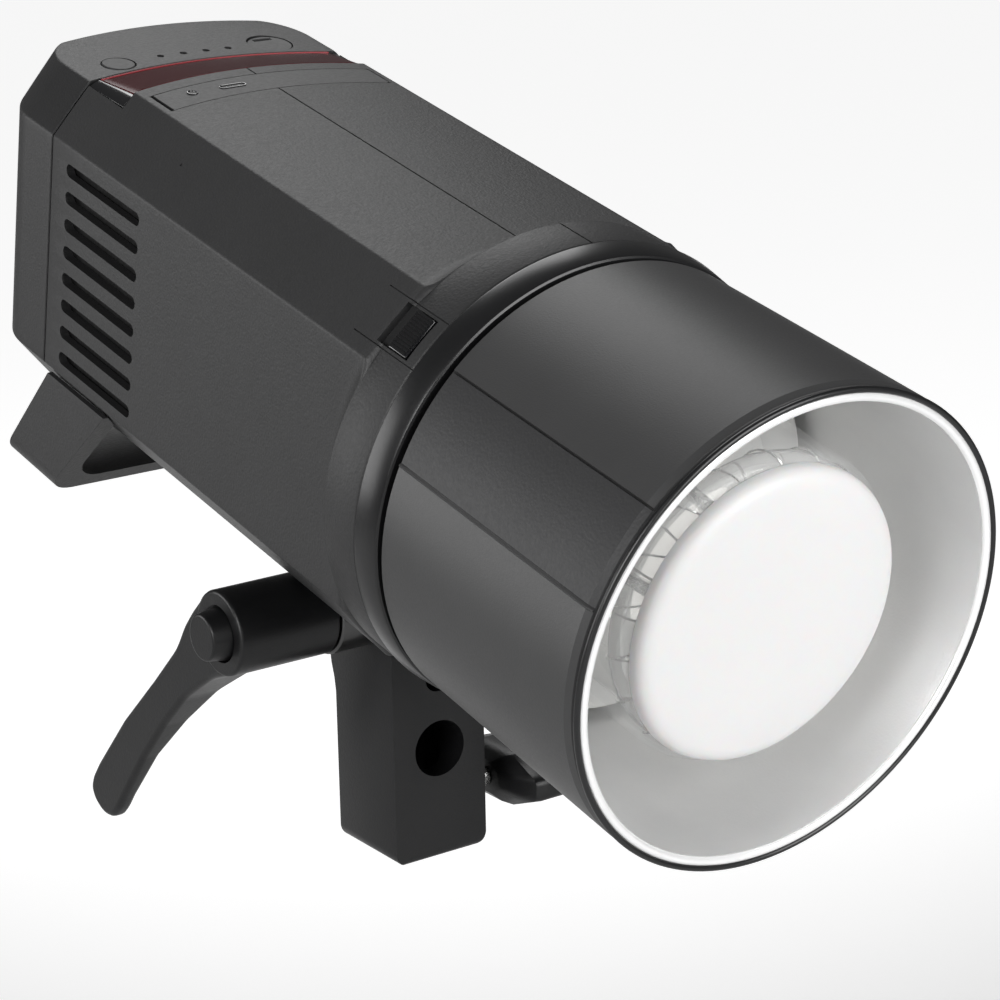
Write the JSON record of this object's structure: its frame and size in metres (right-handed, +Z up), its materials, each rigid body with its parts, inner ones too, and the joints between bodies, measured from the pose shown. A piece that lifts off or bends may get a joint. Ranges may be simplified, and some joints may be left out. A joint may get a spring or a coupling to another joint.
{
  "type": "monolight strobe",
  "caption": "Battery monolight strobe with a short round reflector, frosted lamp dome, grab handle and a tilting stand bracket with a clamping lever.",
  "frame": {"origin": "centre of the bracket's flat underside, on the axis of the stand socket", "axes": "+Z up along the stand, -Y the way the lamp faces, +X the side with the control panel"},
  "size_m": [0.1279, 0.3206, 0.2176],
  "materials": {
    "shell_plastic": "charcoal moulded plastic with a fine leather-like grain",
    "ring_gloss": "polished black plastic",
    "reflector_black": "satin black paint on spun metal",
    "reflector_silver": "satin silver, finely stippled",
    "frosted_glass": "white frosted glass",
    "clear_glass": "clear quartz glass",
    "bracket_black": "die-cast aluminium with satin black paint",
    "bright_steel": "plain machined steel",
    "sensor_red": "dark red clear plastic, polished",
    "soft_rubber": "soft black rubber",
    "circuit_board": "green solder mask",
    "sleeve_blue": "blue plastic sleeve",
    "display_glass": "black window over a display that is off",
    "ceramic_white": "plain white"
  },
  "bodies": {
    "bracket": {"bracket_block": "bracket_black", "tilt_bolt": "bright_steel", "bolt_nut": "bright_steel", "friction_washer_left": "ceramic_white", "friction_washer_right": "ceramic_white", "spacer_ring": "bright_steel"},
    "head": {"body_shell_left": "shell_plastic", "body_shell_right": "shell_plastic", "mounting_ring": "ring_gloss", "front_bulkhead": "bright_steel", "lamp_base": "ceramic_white", "frosted_dome": "frosted_glass", "glass_sleeve": "clear_glass", "led_board": "ceramic_white", "flash_tube": "clear_glass", "trigger_wire": "bright_steel", "tube_terminal_1": "bright_steel", "tube_terminal_2": "bright_steel", "sensor_window": "sensor_red", "sync_jack": "bright_steel", "usb_port": "bright_steel", "panel_plate": "soft_rubber", "display_window": "display_glass", "rear_bulkhead": "bright_steel", "main_board": "circuit_board", "flash_capacitor_1": "sleeve_blue", "flash_capacitor_2": "sleeve_blue", "flash_capacitor_3": "sleeve_blue", "fan_frame": "soft_rubber", "grab_handle": "shell_plastic", "tilt_tongue": "bracket_black"},
    "lever": {"tilt_lever": "bracket_black"},
    "lever_button": {"lever_button": "bracket_black"},
    "clamp": {"clamp_screw": "bright_steel", "clamp_knob": "bracket_black"},
    "umbrella_screw": {"umbrella_screw": "bracket_black"},
    "reflector": {"reflector_shell": "reflector_black", "reflector_rim": "reflector_black", "reflector_liner": "reflector_silver"},
    "release_slider": {"release_slider": "ring_gloss"},
    "port_cover": {"port_cover": "soft_rubber"},
    "battery": {"battery_case": "shell_plastic", "battery_plate": "soft_rubber", "battery_cell_1": "sleeve_blue", "battery_cell_2": "sleeve_blue", "battery_cell_3": "sleeve_blue", "battery_cell_4": "sleeve_blue", "gauge_light_1": "ceramic_white", "gauge_light_2": "ceramic_white", "gauge_light_3": "ceramic_white", "gauge_light_4": "ceramic_white"},
    "gauge_button": {"gauge_button": "soft_rubber"},
    "charge_cover": {"charge_cover": "soft_rubber"},
    "battery_latch": {"battery_latch": "ring_gloss"},
    "control_dial": {"control_dial": "ring_gloss"},
    "panel_button_1": {"panel_button_1": "shell_plastic"},
    "panel_button_2": {"panel_button_2": "shell_plastic"},
    "panel_button_3": {"panel_button_3": "shell_plastic"},
    "power_button": {"power_button": "shell_plastic"},
    "fan_rotor": {"fan_rotor": "soft_rubber"}
  },
  "joints": [
    {"name": "head_tilt", "type": "hinge", "parent": "bracket", "child": "head", "pos_m": [0, 0, 0.0745], "axis": [1, 0, 0], "range_deg": [-50, 50]},
    {"name": "lever_turn", "type": "hinge", "parent": "bracket", "child": "lever", "pos_m": [-0.0596, 0, 0.0745], "axis": [1, 0, 0], "range_deg": [-80, 10]},
    {"name": "lever_button_press", "type": "slide", "parent": "lever", "child": "lever_button", "axis": [1, 0, 0], "range_m": [0, 0.0025], "stiffness_N_per_m": 400, "springref_m": -0.001},
    {"name": "clamp_turn", "type": "hinge", "parent": "bracket", "child": "clamp", "pos_m": [0.025, 0, 0.0135], "axis": [1, 0, 0], "continuous": true},
    {"name": "umbrella_screw_turn", "type": "hinge", "parent": "bracket", "child": "umbrella_screw", "pos_m": [0.0045, 0, 0.053], "axis": [1, 0, 0], "continuous": true},
    {"name": "reflector_twist", "type": "hinge", "parent": "head", "child": "reflector", "pos_m": [0, -0.12376, 0.11403], "axis": [0, 0.9787, 0.2053], "range_deg": [0, 18]},
    {"name": "release_slider_press", "type": "slide", "parent": "head", "child": "release_slider", "axis": [0, 0.9787, 0.2053], "range_m": [0, 0.0038], "stiffness_N_per_m": 200, "springref_m": -0.001},
    {"name": "port_cover_lift", "type": "hinge", "parent": "head", "child": "port_cover", "pos_m": [0, 0.06903, 0.20812], "axis": [-1, 0, 0], "range_deg": [0, 100]},
    {"name": "battery_slide", "type": "slide", "parent": "head", "child": "battery", "axis": [0, -0.2053, 0.9787], "range_m": [0, 0.11]},
    {"name": "gauge_button_press", "type": "slide", "parent": "battery", "child": "gauge_button", "axis": [0, 0.2053, -0.9787], "range_m": [0, 0.0008], "stiffness_N_per_m": 300, "springref_m": -0.001},
    {"name": "charge_cover_lift", "type": "hinge", "parent": "battery", "child": "charge_cover", "pos_m": [0.0308, 0.10153, 0.21055], "axis": [0, 0.9787, 0.2053], "range_deg": [0, 110]},
    {"name": "battery_latch_press", "type": "slide", "parent": "head", "child": "battery_latch", "axis": [0, -0.9787, -0.2053], "range_m": [0, 0.0032], "stiffness_N_per_m": 250, "springref_m": -0.001},
    {"name": "control_dial_turn", "type": "hinge", "parent": "head", "child": "control_dial", "pos_m": [0.0543, 0.02913, 0.14508], "axis": [1, 0, 0], "continuous": true},
    {"name": "panel_button_1_press", "type": "slide", "parent": "head", "child": "panel_button_1", "axis": [-1, 0, 0], "range_m": [0, 0.0012], "stiffness_N_per_m": 300, "springref_m": -0.001},
    {"name": "panel_button_2_press", "type": "slide", "parent": "head", "child": "panel_button_2", "axis": [-1, 0, 0], "range_m": [0, 0.0012], "stiffness_N_per_m": 300, "springref_m": -0.001},
    {"name": "panel_button_3_press", "type": "slide", "parent": "head", "child": "panel_button_3", "axis": [-1, 0, 0], "range_m": [0, 0.0012], "stiffness_N_per_m": 300, "springref_m": -0.001},
    {"name": "power_button_press", "type": "slide", "parent": "head", "child": "power_button", "axis": [-1, 0, 0], "range_m": [0, 0.0012], "stiffness_N_per_m": 300, "springref_m": -0.001},
    {"name": "fan_spin", "type": "hinge", "parent": "head", "child": "fan_rotor", "pos_m": [-0.0415, 0.06714, 0.14897], "axis": [1, 0, 0], "continuous": true}
  ]
}
